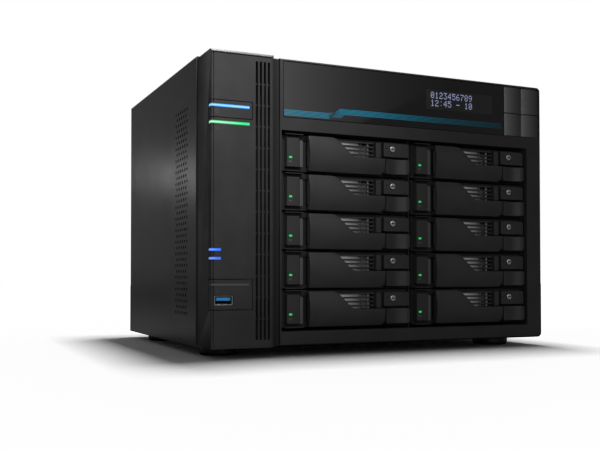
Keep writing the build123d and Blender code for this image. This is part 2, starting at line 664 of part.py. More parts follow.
tray_pieces = [make_carrier(), make_fascia(), make_drive()]
lever, release, lock = make_lever(), make_release(), make_lock()
for index in range(BAY_COLUMNS * BAY_ROWS):
    x, z = tray_corner(index)
    place = Pos(x, 0, z)
    number = index + 1
    save(f"drive_tray_{number}", *[place * piece for piece in tray_pieces])
    save(f"tray_lever_{number}", place * lever)
    save(f"release_button_{number}", place * release)
    save(f"tray_lock_{number}", place * lock)
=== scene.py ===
import math

import bmesh
import bpy
from mathutils import Matrix, Vector


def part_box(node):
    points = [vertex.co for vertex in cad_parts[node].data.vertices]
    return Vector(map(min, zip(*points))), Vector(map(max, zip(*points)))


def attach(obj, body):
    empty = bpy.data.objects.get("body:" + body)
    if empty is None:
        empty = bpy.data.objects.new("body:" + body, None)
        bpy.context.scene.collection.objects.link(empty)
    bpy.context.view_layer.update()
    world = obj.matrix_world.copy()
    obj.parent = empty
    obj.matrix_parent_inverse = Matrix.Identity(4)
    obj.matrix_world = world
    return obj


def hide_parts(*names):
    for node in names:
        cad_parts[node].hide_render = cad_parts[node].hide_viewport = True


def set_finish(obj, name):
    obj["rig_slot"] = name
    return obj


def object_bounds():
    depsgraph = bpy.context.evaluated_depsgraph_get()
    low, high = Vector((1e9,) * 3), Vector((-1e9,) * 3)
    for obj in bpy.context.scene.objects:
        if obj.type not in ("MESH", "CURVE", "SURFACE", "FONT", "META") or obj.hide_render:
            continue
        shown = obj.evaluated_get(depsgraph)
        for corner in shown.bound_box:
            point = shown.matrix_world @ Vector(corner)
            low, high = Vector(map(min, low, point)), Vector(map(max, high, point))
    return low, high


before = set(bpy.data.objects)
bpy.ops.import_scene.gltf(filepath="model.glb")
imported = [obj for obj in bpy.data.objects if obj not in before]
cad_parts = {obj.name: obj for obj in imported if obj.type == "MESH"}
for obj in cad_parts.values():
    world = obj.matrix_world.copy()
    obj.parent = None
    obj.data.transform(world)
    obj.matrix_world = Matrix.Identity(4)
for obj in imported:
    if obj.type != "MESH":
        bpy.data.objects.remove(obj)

# A ten-bay storage enclosure. Sizes are in millimetres from the case's front left corner on the
# floor: x to the right, y to the back, z up. Tray pieces are drawn from their own tray's corner.
cad_low, cad_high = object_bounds()
MM = 0.001
WHOLE = (cad_high - cad_low) / MM

# front mouldings
MOULD_LEFT = 1.1
MOULD_RIGHT = WHOLE.x - 0.1
MOULD_BOTTOM = 7.3
MOULD_TOP = WHOLE.z - 1.5
COVER_FRONT = 30.5
FACE = 0.12  # the column's face stands this far behind the case's foremost plane
PANEL_RIGHT = 49.0
PANEL_WALL = 3.0
BEZEL_LEFT = 49.3
BEZEL_FACE = 5.75
BEZEL_BACK = 9.5
CHANNEL_RIGHT = 55.4
CHANNEL_FLOOR = 8.75
OPENING_X = (56.5, 278.2)
OPENING_Z = (17.6, 163.0)
WINDOW_X = (58.0, 254.9)
WINDOW_Z = (172.3, 213.2)
SCREEN_X = (180.2, 243.4)
SCREEN_Z = (188.4, 203.6)
SLOT_XS = (35.1, 38.15, 41.2, 44.3)
SLOT_Z = (12.8, 208.8)
SLOT_CELLS = 13
SLOT_HALF = 0.95
CORNER = 1.1  # radius of the column's and the buttons' left edge
POWER_Z = (167.6, 179.2)
COPY_Z = (34.4, 55.1)
BUTTON_RIGHT = 31.5
USB_X = (3.8, 17.5)
USB_Z = (37.2, 44.2)
GAP = 0.55  # round the column's buttons
LEFT_KEYS = (255.9, 272.0)
RIGHT_KEYS = (273.4, 290.7)
LOWER_KEYS = (172.6, 190.8)
UPPER_KEYS = (191.3, 212.4)
KEY_GAP = 0.4
KEY_Y = (6.1, 8.6)

# tray fronts, from the tray's lower left corner
TRAY_SIZE = (106.4, 27.6)
PLATE_Y = (13.0, 15.0)
SKIN_Y = 12.0
HINGE = (22.2, 10.2)
LEVER_PEAK = 4.8
LEVER_EDGE = 6.9
LEVER_BACK = 8.5
LEVER_MIDDLE = 13.7
LEVER_HALF = 13.1
BUTTON_FACE = 5.2
LOCK_UW = (91.2, 21.0)
DRIVE_U = (2.4, 104.0)
DRIVE_Y = (19.0, 166.0)
DRIVE_W = (0.8, 26.9)
GRILLE_U = (42.0, 75.9)
GRILLE_W = (13.25, 25.0)
TRAYS = range(1, 11)

# camera: its place in working millimetres, and its direction in degrees
EYE = (-179.6, -529.6, 58.0)
YAW = 23.47
PITCH = 1.10


# ---------------------------------------------------------------- mesh tools


def at(x, y, z):
    """A point in the frame, in metres, from the working millimetres."""
    return cad_low + Vector((x, y, z)) * MM


def link(name, mesh):
    obj = bpy.data.objects.new(name, mesh)
    bpy.context.scene.collection.objects.link(obj)
    return obj


def finished(name, mesh):
    """Closes a bmesh into an object whose mesh is still in millimetres."""
    bmesh.ops.recalc_face_normals(mesh, faces=mesh.faces)
    data = bpy.data.meshes.new(name)
    mesh.to_mesh(data)
    mesh.free()
    return link(name, data)


AXES = {
    "X": lambda a, b, t: (t, a, b),
    "Y": lambda a, b, t: (a, t, b),
    "Z": lambda a, b, t: (a, b, t),
}


def add_prism(mesh, outline, low, high, axis="Y"):
    """Adds a closed prism: the outline is in the plane across the axis."""
    rings = [[mesh.verts.new(AXES[axis](a, b, t)) for a, b in outline] for t in (low, high)]
    mesh.faces.new(rings[0])
    mesh.faces.new(rings[1])
    for i in range(len(outline)):
        j = (i + 1) % len(outline)
        mesh.faces.new((rings[0][i], rings[0][j], rings[1][j], rings[1][i]))


def prisms(name, *parts):
    """One object of separate closed prisms, each (outline, low, high) or (outline, low, high, axis)."""
    mesh = bmesh.new()
    for part in parts:
        add_prism(mesh, *part)
    return finished(name, mesh)


def boxes(name, *limits):
    """One object of separate boxes, each (x0, x1, y0, y1, z0, z1)."""
    return prisms(name, *[(rectangle(x0, x1, z0, z1), y0, y1) for x0, x1, y0, y1, z0, z1 in limits])


def rectangle(x0, x1, z0, z1, radius=0.0, steps=5):
    """Outline of a rectangle, with one corner radius or four from lower left anticlockwise."""
    radii = radius if isinstance(radius, tuple) else (radius,) * 4
    corners = ((x0, z0, 180), (x1, z0, 270), (x1, z1, 0), (x0, z1, 90))
    points = []
    for (x, z, start), r in zip(corners, radii):
        if not r:
            points.append((x, z))
            continue
        cx = x + r if x == x0 else x - r
        cz = z + r if z == z0 else z - r
        points += arc(cx, cz, r, start, start + 90, steps)
    return points


def arc(x, z, radius, start, end, steps):
    angles = [math.radians(start + (end - start) * i / steps) for i in range(steps + 1)]
    return [(x + radius * math.cos(a), z + radius * math.sin(a)) for a in angles]


def circle(x, z, radius, steps=32):
    return arc(x, z, radius, 0, 360 - 360 / steps, steps - 1)


def bezier(p0, p1, p2, p3, steps=14):
    points = []
    for i in range(steps + 1):
        t = i / steps
        k = ((1 - t) ** 3, 3 * t * (1 - t) ** 2, 3 * t * t * (1 - t), t**3)
        points.append(tuple(sum(w * p[n] for w, p in zip(k, (p0, p1, p2, p3))) for n in (0, 1)))
    return points


def baked(obj):
    """Applies the object's modifiers to its mesh."""
    graph = bpy.context.evaluated_depsgraph_get()
    data = bpy.data.meshes.new_from_object(obj.evaluated_get(graph))
    obj.modifiers.clear()
    obj.data = data
    return obj


def subtract(obj, *cutters):
    for cutter in cutters:
        change = obj.modifiers.new("cut", "BOOLEAN")
        change.object = cutter
        change.operation = "DIFFERENCE"
        change.solver = "EXACT"
    baked(obj)
    for cutter in cutters:
        bpy.data.objects.remove(cutter)
    return obj


def soften(obj, width=0.3, segments=3, angle=40):
    """Rounds every sharp edge and keeps the flats flat."""
    bevel = obj.modifiers.new("bevel", "BEVEL")
    bevel.width = width
    bevel.segments = segments
    bevel.limit_method = "ANGLE"
    bevel.angle_limit = math.radians(angle)
    bevel.miter_outer = "MITER_ARC"
    baked(obj)
    return smooth(obj)


def smooth(obj, angle=35):
    obj.data.shade_smooth()
    obj.data.set_sharp_from_angle(angle=math.radians(angle))
    weights = obj.modifiers.new("weights", "WEIGHTED_NORMAL")
    weights.keep_sharp = True
    return baked(obj)


def plate(name, outlines, y0, y1, edge=0.3, rings=3):
    """A flat plate facing the front with rounded edges. The first outline is its rim, the rest are holes."""
    curve = bpy.data.curves.new(name, "CURVE")
    curve.dimensions = "2D"
    curve.fill_mode = "BOTH"
    curve.extrude = (y1 - y0) / 2 - edge
    curve.bevel_depth = edge
    curve.bevel_resolution = rings
    curve.offset = -edge
    for outline in outlines:
        spline = curve.splines.new("POLY")
        spline.points.add(len(outline) - 1)
        for point, (x, z) in zip(spline.points, outline):
            point.co = (x, z, 0, 1)
        spline.use_cyclic_u = True
    holder = link(name, curve)
    graph = bpy.context.evaluated_depsgraph_get()
    data = bpy.data.meshes.new_from_object(holder.evaluated_get(graph))
    bpy.data.objects.remove(holder)
    data.transform(Matrix.Translation((0, (y0 + y1) / 2, 0)) @ Matrix.Rotation(math.pi / 2, 4, "X"))
    welded = bmesh.new()
    welded.from_mesh(data)
    bmesh.ops.remove_doubles(welded, verts=welded.verts, dist=1e-4)
    return smooth(finished(name, welded))


def sliced(obj, axis, low, high, step):
    """Adds lines of vertices across the mesh, so that it can be bent."""
    normal = [1.0 if axis == n else 0.0 for n in range(3)]
    mesh = bmesh.new()
    mesh.from_mesh(obj.data)
    count = max(1, round((high - low) / step))
    for i in range(1, count):
        level = low + (high - low) * i / count
        everything = mesh.verts[:] + mesh.edges[:] + mesh.faces[:]
        point = [level if axis == n else 0.0 for n in range(3)]
        bmesh.ops.bisect_plane(mesh, geom=everything, plane_co=point, plane_no=normal)
    mesh.to_mesh(obj.data)
    mesh.free()
    return obj


def bent(obj, shift):
    """Moves each vertex in y by shift(x, y, z)."""
    for vertex in obj.data.vertices:
        x, y, z = vertex.co
        vertex.co.y = y + shift(x, y, z)
    obj.data.update()
    return smooth(obj, 50)


def merged(name, *objs):
    """Joins meshes into one object, without their UV layers."""
    mesh = bmesh.new()
    for obj in objs:
        mesh.from_mesh(obj.data)
        bpy.data.objects.remove(obj)
    for layer in list(mesh.loops.layers.uv):
        mesh.loops.layers.uv.remove(layer)
    data = bpy.data.meshes.new(name)
    mesh.to_mesh(data)
    mesh.free()
    return smooth(link(name, data), 35)


def lathe(name, profile, steps=48):
    """A solid of revolution about Y from (radius, y) points, closed at both ends."""
    mesh = bmesh.new()
    rings = []
    for radius, y in profile:
        if radius == 0:
            rings.append([mesh.verts.new((0, y, 0))])
            continue
        turns = [2 * math.pi * i / steps for i in range(steps)]
        rings.append([mesh.verts.new((radius * math.cos(a), y, radius * math.sin(a))) for a in turns])
    for a, b in zip(rings, rings[1:]):
        for i in range(steps):
            j = (i + 1) % steps
            quad = [a[i % len(a)], a[j % len(a)], b[j % len(b)], b[i % len(b)]]
            mesh.faces.new(list(dict.fromkeys(quad)))
    return smooth(finished(name, mesh))


# ---------------------------------------------------------------- materials


def new_material(name, color, roughness, metallic=0.0, **sockets):
    made = bpy.data.materials.new(name)
    made.use_nodes = True
    shader = made.node_tree.nodes["Principled BSDF"]
    shader.inputs["Base Color"].default_value = (*color, 1)
    shader.inputs["Roughness"].default_value = roughness
    shader.inputs["Metallic"].default_value = metallic
    for socket, value in sockets.items():
        shader.inputs[socket.replace("_", " ")].default_value = value
    return made


def node(tree, kind, inputs=(), **settings):
    made = tree.nodes.new(kind)
    for key, value in settings.items():
        setattr(made, key, value)
    for socket, value in dict(inputs).items():
        if isinstance(value, bpy.types.NodeSocket):
            tree.links.new(value, made.inputs[socket])
        else:
            made.inputs[socket].default_value = value
    return made


def calculate(tree, operation, *values):
    return node(tree, "ShaderNodeMath", dict(enumerate(values)), operation=operation).outputs[0]


def ramp(tree, value, low, high, start=0.0, end=1.0):
    """Runs from start to end while the value runs from low to high."""
    inputs = {"Value": value, "From Min": low, "From Max": high, "To Min": start, "To Max": end}
    return node(tree, "ShaderNodeMapRange", inputs).outputs[0]


def coordinate(tree, axis):
    """The distance along one axis of the piece, in metres."""
    where = node(tree, "ShaderNodeTexCoord").outputs["Object"]
    return node(tree, "ShaderNodeSeparateXYZ", {"Vector": where}).outputs[axis]


def along(tree, axis, low, high):
    """Runs from 0 to 1 between two distances, in millimetres, along one axis of the piece."""
    return ramp(tree, coordinate(tree, axis), low * MM, high * MM)


def object_noise(tree, scale, detail=3.0, stretch=(1, 1, 1)):
    where = node(tree, "ShaderNodeTexCoord").outputs["Object"]
    if stretch != (1, 1, 1):
        where = node(tree, "ShaderNodeMapping", {"Vector": where, "Scale": stretch}).outputs[0]
    inputs = {"Vector": where, "Scale": scale, "Detail": detail}
    return node(tree, "ShaderNodeTexNoise", inputs).outputs["Fac"]


def color_mix(tree, factor, low, high):
    """The colour between low and high that a factor picks. Low may be another node's colour."""
    mix = node(tree, "ShaderNodeMix", {"Factor": factor}, data_type="RGBA")
    ends = [socket for socket in mix.inputs if socket.type == "RGBA"]
    if isinstance(low, bpy.types.NodeSocket):
        tree.links.new(low, ends[0])
    else:
        ends[0].default_value = (*low, 1)
    ends[1].default_value = (*high, 1)
    return [socket for socket in mix.outputs if socket.type == "RGBA"][0]


def add_bump(made, grain, height, strength=0.6, detail=4.0, stretch=(1, 1, 1)):
    """Grain of one size as bump. A grain stretched along one axis makes brush lines."""
    tree = made.node_tree
    noise = object_noise(tree, grain, detail, stretch)
    bump = node(tree, "ShaderNodeBump", {"Height": noise, "Distance": height, "Strength": strength})
    tree.links.new(bump.outputs["Normal"], tree.nodes["Principled BSDF"].inputs["Normal"])
    return made


def add_mottle(made, mottle=0.12, rough=0.08, stretch=(1, 1, 1)):
    """Slow changes of colour and of roughness."""
    tree = made.node_tree
    shader = tree.nodes["Principled BSDF"]
    color = shader.inputs["Base Color"].default_value[:3]
    dark = [c * (1 - mottle) for c in color]
    light = [min(1, c * (1 + mottle)) for c in color]
    slow = ramp(tree, object_noise(tree, 55.0, 5.0, stretch), 0.35, 0.65)
    tree.links.new(color_mix(tree, slow, dark, light), shader.inputs["Base Color"])
    base = shader.inputs["Roughness"].default_value
    noise = object_noise(tree, 30.0, 3.0, stretch)
    spread = ramp(tree, noise, 0.3, 0.7, max(0.02, base - rough), min(1.0, base + rough))
    tree.links.new(spread, shader.inputs["Roughness"])
    return made


def add_surface(made, grain, height, mottle=0.12, rough=0.08, stretch=(1, 1, 1)):
    add_bump(made, grain, height, stretch=stretch)
    return add_mottle(made, mottle, rough, stretch)


def glowing(name, core, rim, strength, half_height, far_core=None, right=30.0):
    """A lit lens: pale along its middle line, coloured at its upper and lower edges, and changing to
    the second core colour at its right end."""
    made = new_material(name, rim, 0.35)
    tree = made.node_tree
    shader = tree.nodes["Principled BSDF"]
    away = calculate(tree, "ABSOLUTE", coordinate(tree, "Z"))
    edge = ramp(tree, away, 0.0, 0.85 * half_height * MM)
    middle = color_mix(tree, along(tree, "X", MOULD_LEFT, right), core, far_core or core)
    tree.links.new(color_mix(tree, edge, middle, rim), shader.inputs["Emission Color"])
    shader.inputs["Emission Strength"].default_value = strength
    return made


def fading(made, axis, low, high, end_color):
    """Lets the base colour change to a second one along the piece. It carries the teal print's fade, the
    painted shade in the channel and the painted highlight on the grille's shield.
    """
    tree = made.node_tree
    base = tree.nodes["Principled BSDF"].inputs["Base Color"]
    start_color = base.default_value[:3]
    tree.links.new(color_mix(tree, along(tree, axis, low, high), start_color, end_color), base)
    return made


def painted_key_highlight(made):
    """Paints a highlight into each key's colour, paler towards its left edge, where the light falls. The keys
    stand in two columns of one pitch.
    """
    tree = made.node_tree
    pitch = 17.6
    first = LEFT_KEYS[0] - 0.5
    pale = (0.30, 0.30, 0.30)
    dark = (0.030, 0.030, 0.0305)
    columns = calculate(tree, "MULTIPLY_ADD", coordinate(tree, "X"), 1 / (pitch * MM), -first / pitch)
    highlight_fade = calculate(tree, "POWER", calculate(tree, "FRACT", columns), 0.45)
    tree.links.new(color_mix(tree, highlight_fade, pale, dark), tree.nodes["Principled BSDF"].inputs["Base Color"])
    return made


SKIN = {
    "cover": add_bump(
        add_mottle(new_material("cover_paint", (0.050, 0.050, 0.052), 0.22, 0.35), 0.08, 0.04, (1, 1, 0.2)),
        1400, 0.00006, 0.7, 3.0, (1, 1, 0.02)),
    "bezel": add_surface(
        new_material("bezel_plastic", (0.027, 0.027, 0.0275), 0.50, Specular_IOR_Level=0.4), 2600, 0.00010),
    # near-black sheet on the channel's floor: painted shade, darkest beside the column
    "channel_shade": fading(
        new_material("channel_painted_shade", (0.003, 0.003, 0.003), 0.6, Specular_IOR_Level=0.2), "X", 50, 55,
        (0.020, 0.020, 0.020)),
    "column": add_surface(
        new_material("column_plastic", (0.036, 0.036, 0.0365), 0.50, Specular_IOR_Level=0.25), 2600, 0.00010),
    "tray": add_surface(new_material("tray_plastic", (0.026, 0.026, 0.0265), 0.50), 2600, 0.00010),
    "lever": add_surface(new_material("lever_plastic", (0.031, 0.031, 0.0315), 0.46), 2600, 0.00010),
    # near-black: the colour of the black cage, fan parts and socket back, and painted shade in the lock's
    # slot, round the lock and at the back of each tray front
    "dark": add_surface(new_material("black_plastic_and_painted_shade", (0.004, 0.004, 0.004), 0.60), 2600, 0.00010),
    # key caps: base colour carries a painted highlight, pale at each key's left edge
    "key": painted_key_highlight(add_surface(new_material("key_gloss", (0.058, 0.058, 0.0585), 0.28), 4000, 0.00003)),
    "window": new_material("window_gloss", (0.006, 0.006, 0.0065), 0.05, Coat_Weight=0.5),
    "screen": new_material("screen_glass", (0.030, 0.030, 0.031), 0.12),
    "teal": fading(new_material("teal_print", (0.008, 0.30, 0.48), 0.2), "X", 135, 250, (0.004, 0.09, 0.13)),
    "rubber": add_surface(new_material("foot_rubber", (0.012, 0.012, 0.012), 0.38), 1800, 0.00010),
    "steel": add_surface(
        new_material("bare_steel", (0.46, 0.47, 0.48), 0.36, 1.0), 900, 0.00003, 0.08, 0.06, (1, 30, 1)),
    # the shield's colour fades from pale to dark along it: a painted highlight
    "painted_sheen": fading(
        new_material("shield_tin_painted_sheen", (0.95, 0.95, 0.94), 0.40, 0.2), "X", 46, 63, (0.25, 0.25, 0.25)),
    "edge": add_surface(new_material("tray_edge", (0.085, 0.085, 0.086), 0.45), 2600, 0.00010),
    "dull_steel": add_surface(
        new_material("shell_steel", (0.45, 0.45, 0.45), 0.36, 0.7), 900, 0.00003, 0.08, 0.06),
    "zinc": add_surface(new_material("zinc_steel", (0.40, 0.41, 0.43), 0.42, 1.0), 300, 0.00003, 0.14, 0.10),
    "chrome": add_surface(new_material("lock_chrome", (0.62, 0.60, 0.57), 0.30, 0.6), 1500, 0.00002, 0.05),
    "alloy": add_surface(new_material("drive_alloy", (0.50, 0.51, 0.53), 0.38, 1.0), 1200, 0.00006, 0.10),
    "label": add_surface(new_material("drive_label", (0.74, 0.74, 0.72), 0.55), 2000, 0.00002, 0.03),
    "board": add_surface(new_material("board_green", (0.010, 0.085, 0.045), 0.32), 700, 0.00006, 0.25),
    "gold": add_surface(new_material("gold_contact", (0.85, 0.60, 0.22), 0.25, 1.0), 1500, 0.00002, 0.05),
    "print": new_material("pale_print", (0.075, 0.075, 0.076), 0.6),
    "grey_lens": new_material("unlit_lens", (0.085, 0.085, 0.09), 0.35),
    "usb_blue": new_material("usb_blue", (0.02, 0.34, 0.85), 0.35),
    "blue": glowing("blue_light", (0.40, 0.88, 0.97), (0.015, 0.16, 0.60), 1.0, 1.0),
    "network": glowing(
        "network_light", (0.27, 0.40, 0.78), (0.015, 0.10, 0.62), 1.0, 0.95, (0.05, 0.18, 0.97), 6.0),
    "green": glowing(
        "green_light", (0.80, 0.97, 0.90), (0.006, 0.30, 0.08), 1.0, 1.0, (0.02, 0.88, 0.34), 26.0),
    "green_dot": glowing("green_dot", (0.02, 0.60, 0.14), (0.008, 0.38, 0.09), 0.9, 0.9),
    "glyph": glowing("screen_glyph", (0.42, 0.46, 0.72), (0.40, 0.44, 0.70), 0.42, 9.0),
}
SLOT = {
    "cover": "cover_paint", "bezel": "bezel_plastic", "channel_shade": "bezel_plastic", "column": "panel_plastic",
    "tray": "tray_plastic", "edge": "tray_plastic", "lever": "lever_plastic", "dark": "port_plastic",
    "key": "key_gloss", "window": "window_gloss", "screen": "window_gloss", "teal": "teal_print",
    "rubber": "foot_rubber", "steel": "chassis_steel", "dull_steel": "chassis_steel",
    "painted_sheen": "chassis_steel", "zinc": "cage_steel", "chrome": "lock_metal", "alloy": "drive_aluminium",
    "label": "drive_label", "board": "circuit_board", "gold": "gold_contact", "print": "icon_print",
    "grey_lens": "unlit_lens", "usb_blue": "blue_plastic", "blue": "blue_light",
    "network": "blue_light", "green": "green_light", "green_dot": "green_light", "glyph": "screen_glyph",
}


def dress(obj, skin, body, corner=(0, 0, 0), replaces=()):
    """Takes a millimetre mesh to its place, gives it its material, and lets it ride on its body."""
    obj.data.transform(Matrix.Scale(MM, 4))
    obj.location = at(*corner)
    obj.data.materials.clear()
    obj.data.materials.append(SKIN[skin])
    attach(obj, body)
    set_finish(obj, SLOT[skin])
    if replaces:
        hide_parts(*replaces)
    return obj


def repeat(obj, name, body, corner):
    """Another piece of the same mesh, at another tray."""
    twin = link(name, obj.data)
    twin.location = at(*corner)
    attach(twin, body)
    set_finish(twin, obj["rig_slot"])
    return twin


# ---------------------------------------------------------------- control column


def column_outline(front=FACE, back=COVER_FRONT):
    """The column seen from above: softened left corner and wide rounded right corner."""
    left = arc(MOULD_LEFT + CORNER, front + CORNER, CORNER, 180, 270, 6)
    right = arc(PANEL_RIGHT - 3.1, front + 3.1, 3.1, 270, 360, 8)
    return [(MOULD_LEFT, back), *left, *right, (PANEL_RIGHT, back)]


def button_outline(back_front, wrap, gap=0.0):
    """An L seen from above: across the column's face and round its left corner."""
    x0 = MOULD_LEFT - (3 if gap else 0)
    y0 = -3 if gap else FACE
    inner = MOULD_LEFT + 2 + gap
    start = [(x0, y0)] if gap else arc(MOULD_LEFT + CORNER, FACE + CORNER, CORNER, 180, 270, 6)
    return [*start, (BUTTON_RIGHT + gap, y0), (BUTTON_RIGHT + gap, back_front), (inner, back_front),
            (inner, wrap), (x0, wrap)]


def face_groove():
    """Cuts the line that runs down the face beside its left corner."""
    return boxes("groove", (2.25, 3.15, -1, 1.3, MOULD_BOTTOM + 2.0, MOULD_TOP - 2.1))


def top_groove():
    """Cuts the line that runs across the face under its top edge."""
    return boxes("groove", (2.8, PANEL_RIGHT - 2.6, -1, 1.0, MOULD_TOP - 2.8, MOULD_TOP - 2.15))


def top_chamfer(width, face, x0, x1):
    """Cuts the front edge of a moulding's top."""
    over = MOULD_TOP + 1
    outline = [(face - 1, MOULD_TOP - width - 1), (face + width + 1, over), (face - 1, over)]
    return prisms("chamfer", (outline, x0, x1, "X"))


def make_column():
    """Hollow moulding with vent slots, pierced between cross ribs, and openings for what it holds."""
    column = prisms("control_column", (column_outline(), MOULD_BOTTOM, MOULD_TOP, "Z"))
    inside = boxes("inside", (3.6, 46.4, PANEL_WALL + FACE, COVER_FRONT + 1, 9.8, MOULD_TOP - 2.5))
    cell = (SLOT_Z[1] - SLOT_Z[0]) / SLOT_CELLS
    slots, cells = [], []
    for x in SLOT_XS:
        slots.append((x - SLOT_HALF, x + SLOT_HALF, -1, 2.2, *SLOT_Z))
        for step in range(SLOT_CELLS):
            z = SLOT_Z[0] + step * cell
            cells.append((x - SLOT_HALF, x + SLOT_HALF, 1.2, PANEL_WALL + 1, z, z + cell - 0.9))
    usb = boxes("usb", (USB_X[0], USB_X[1], -1, PANEL_WALL + 1, *USB_Z))
    openings = [
        (button_outline(PANEL_WALL + 1.5, 6.0, GAP), z0 - GAP, z1 + GAP, "Z")
        for z0, z1 in (POWER_Z, COPY_Z)
    ]
    subtract(column, top_chamfer(1.6, FACE, 0, PANEL_RIGHT + 1), inside, boxes("slots", *slots),
             boxes("cells", *cells), usb, face_groove(), top_groove(), prisms("openings", *openings))
    soften(column, 0.22, 2)
    return dress(column, "column", "root", replaces=("control_panel",))


def usb_gap():
    """Cuts the copy button clear of the socket's shell."""
    return boxes("usb_gap", (USB_X[0] - 0.1, USB_X[1] + 0.1, -2, 8, USB_Z[0] - 0.1, USB_Z[1] + 0.1))


def make_panel_button(name, node_name, z_range, cutters=()):
    outline = button_outline(PANEL_WALL + 0.2, 5.1)
    button = prisms(name, (outline, *z_range, "Z"))
    subtract(button, face_groove(), *cutters)
    soften(button, 0.15, 2)
    middle = sum(z_range) / 2
    stem = boxes("stem", (22, 26, PANEL_WALL, 12, middle - 2, middle + 2))
    button = merged(name, button, soften(stem, 0.3, 2))
    return dress(button, "column", node_name, replaces=(node_name,))


def light_bar(name, skin, body, right, z, height):
    """A lens set in the column's face that turns its left corner."""
    thin = 0.5
    lift = 0.06
    wrap = 4.4
    x = MOULD_LEFT + CORNER
    y = FACE + CORNER
    radius = CORNER + lift
    outer = arc(x, y, radius, 180, 270, 6)
    inner = arc(x, y, radius - thin, 270, 180, 6)
    outline = [(x - radius, wrap), *outer, (right, y - radius), (right, y - radius + thin), *inner,
               (x - radius + thin, wrap)]
    bar = prisms(name, (outline, -height / 2, height / 2, "Z"))
    soften(bar, 0.12, 2)
    return dress(bar, skin, body, (0, 0, z))


def small_ring(name, x, z, radius, body, width=0.28):
    """A printed ring, used for the small marks beside the lights."""
    outlines = [circle(x, z, radius, 24), circle(x, z, radius - width, 24)]
    return dress(plate(name, outlines, FACE - 0.03, FACE + 0.06, 0.02, 1), "print", body)


def make_column_details():
    light_bar("power_light", "blue", "power_button", right=29.5, z=175.6, height=2.1)
    light_bar("status_light", "green", "root", right=29.6, z=163.9, height=2.1)
    light_bar("network_light_1", "network", "root", right=8.3, z=75.8, height=1.9)
    light_bar("network_light_2", "network", "root", right=8.3, z=69.8, height=1.9)
    light_bar("copy_light", "grey_lens", "copy_button", right=29.2, z=51.6, height=1.4)
    small_ring("power_mark", 5.3, 171.3, 1.25, "power_button")
    small_ring("status_mark", 5.4, 159.8, 1.25, "root")
    small_ring("copy_mark", 5.6, 47.6, 1.2, "copy_button")
    for number, z in enumerate((79.0, 73.0), 1):
        small_ring(f"network_mark_{number}", 5.4, z, 0.8, "root", 0.22)


def make_usb():
    """The copy socket: folded steel shell with spring tabs, blue tongue and four contacts."""
    x0, x1 = USB_X[0] + 0.2, USB_X[1] - 0.2
    z0, z1 = USB_Z[0] + 0.2, USB_Z[1] - 0.2
    sheet = 0.45
    outlines = [
        rectangle(x0, x1, z0, z1, 0.7),
        rectangle(x0 + sheet, x1 - sheet, z0 + sheet, z1 - sheet, 0.4),
    ]
    shell = plate("usb_shell", outlines, 0.9, 15.8, 0.12, 1)
    dress(shell, "dull_steel", "root")
    tongue = boxes("usb_tongue", (x0 + 1.5, x1 - 1.4, 1.7, 15, z0 + 3.2, z1 - 1.3))
    dress(soften(tongue, 0.2, 2), "usb_blue", "root")
    back = boxes("usb_back", (x0 + 0.5, x1 - 0.5, 13.5, 15.5, z0 + 0.5, z1 - 0.5))
    dress(soften(back, 0.1, 1), "dark", "root")
    contacts = boxes("usb_contacts", *[
        (x0 + 2.4 + i * 2.45, x0 + 3.5 + i * 2.45, 2.4, 12, z0 + 3.02, z0 + 3.2) for i in range(4)])
    dress(smooth(contacts), "gold", "root")
    tabs = boxes("usb_tabs", *[
        (x0 + 2.6 + i * 5, x0 + 4.8 + i * 5, 2.5, 9, z0 + 0.35, z0 + 0.75) for i in range(2)])
    dress(soften(tabs, 0.12, 2), "dull_steel", "root")


# ---------------------------------------------------------------- bezel, window, keys


def make_bezel():
    """Frame round the bays, the window and the keys, with a sunk channel beside the column."""
    outline = rectangle(BEZEL_LEFT, MOULD_RIGHT, MOULD_BOTTOM, MOULD_TOP, (0, 3.3, 3.3, 0), 6)
    bezel = prisms("bezel", (outline, BEZEL_FACE, COVER_FRONT))
    mesh = bmesh.new()
    mesh.from_mesh(bezel.data)
    rim = [
        e for e in mesh.edges
        if all(abs(v.co.y - BEZEL_FACE) < 0.01 for v in e.verts)
        and not all(abs(v.co.x - BEZEL_LEFT) < 0.01 for v in e.verts)
    ]
    bmesh.ops.bevel(mesh, geom=rim, offset=1.3, segments=4, profile=0.5, affect="EDGES")
    mesh.to_mesh(bezel.data)
    mesh.free()
    inside = boxes("inside", (
        BEZEL_LEFT + 2, MOULD_RIGHT - 2, BEZEL_BACK, COVER_FRONT + 1, MOULD_BOTTOM + 2.5, MOULD_TOP - 1.2))
    channel = boxes("channel", (BEZEL_LEFT - 1, CHANNEL_RIGHT, 0, CHANNEL_FLOOR, 0, MOULD_TOP + 5))
    bays = boxes("bays", (*OPENING_X, 0, BEZEL_BACK + 1, *OPENING_Z))
    seat = boxes("seat", (
        WINDOW_X[0] - 0.1, WINDOW_X[1] + 0.1, 0, BEZEL_FACE + 2.3, WINDOW_Z[0] - 0.1, WINDOW_Z[1] + 0.1))
    keys = boxes("keys", (
        LEFT_KEYS[0] - KEY_GAP, RIGHT_KEYS[1] + KEY_GAP, 0, BEZEL_BACK + 1,
        LOWER_KEYS[0] - KEY_GAP, UPPER_KEYS[1] + KEY_GAP))
    subtract(bezel, inside, channel, bays, seat, keys)
    dress(soften(bezel, 0.25, 2), "bezel", "root", replaces=("front_bezel",))
    # a near-black sheet on the channel's floor, as painted shade
    channel_shade = boxes("channel_shade_sheet", (
        BEZEL_LEFT + 0.1, CHANNEL_RIGHT - 0.5, CHANNEL_FLOOR - 0.3, CHANNEL_FLOOR + 0.1,
        MOULD_BOTTOM + 0.4, MOULD_TOP - 0.6))
    dress(soften(channel_shade, 0.1, 1), "channel_shade", "root")


